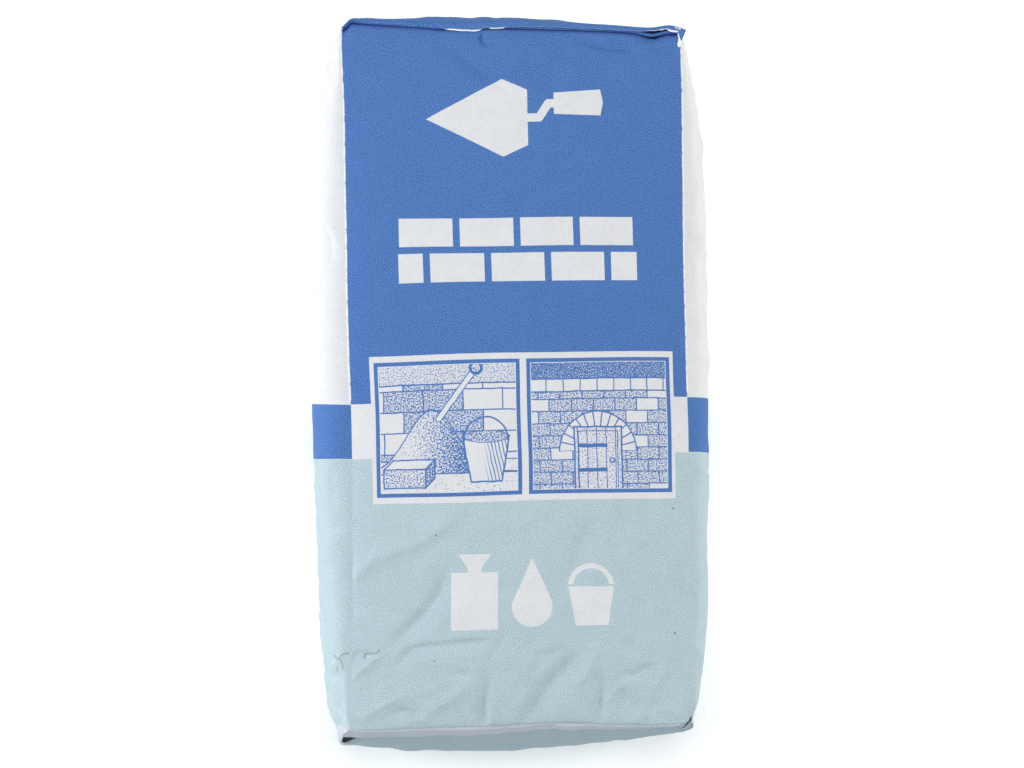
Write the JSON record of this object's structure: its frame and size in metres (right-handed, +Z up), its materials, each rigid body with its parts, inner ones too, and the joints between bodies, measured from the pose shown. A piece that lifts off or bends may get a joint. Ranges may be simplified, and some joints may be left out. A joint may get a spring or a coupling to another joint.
{
  "type": "cement bag",
  "caption": "Small paper sack of cement, full, folded shut at both ends and lying flat on its back with its printed front panel up.",
  "frame": {"origin": "on the floor, under the middle of the sack as it lies on its back", "axes": "+Y along the sack's length towards its top end, +Z up out of the printed front panel, +X across to the right of the front panel"},
  "size_m": [0.1762, 0.3239, 0.0838],
  "materials": {
    "printed_paper": "matt uncoated paper printed in blue and pale aqua on white"
  },
  "bodies": {
    "root": {"cement_sack": "printed_paper"}
  },
  "joints": []
}
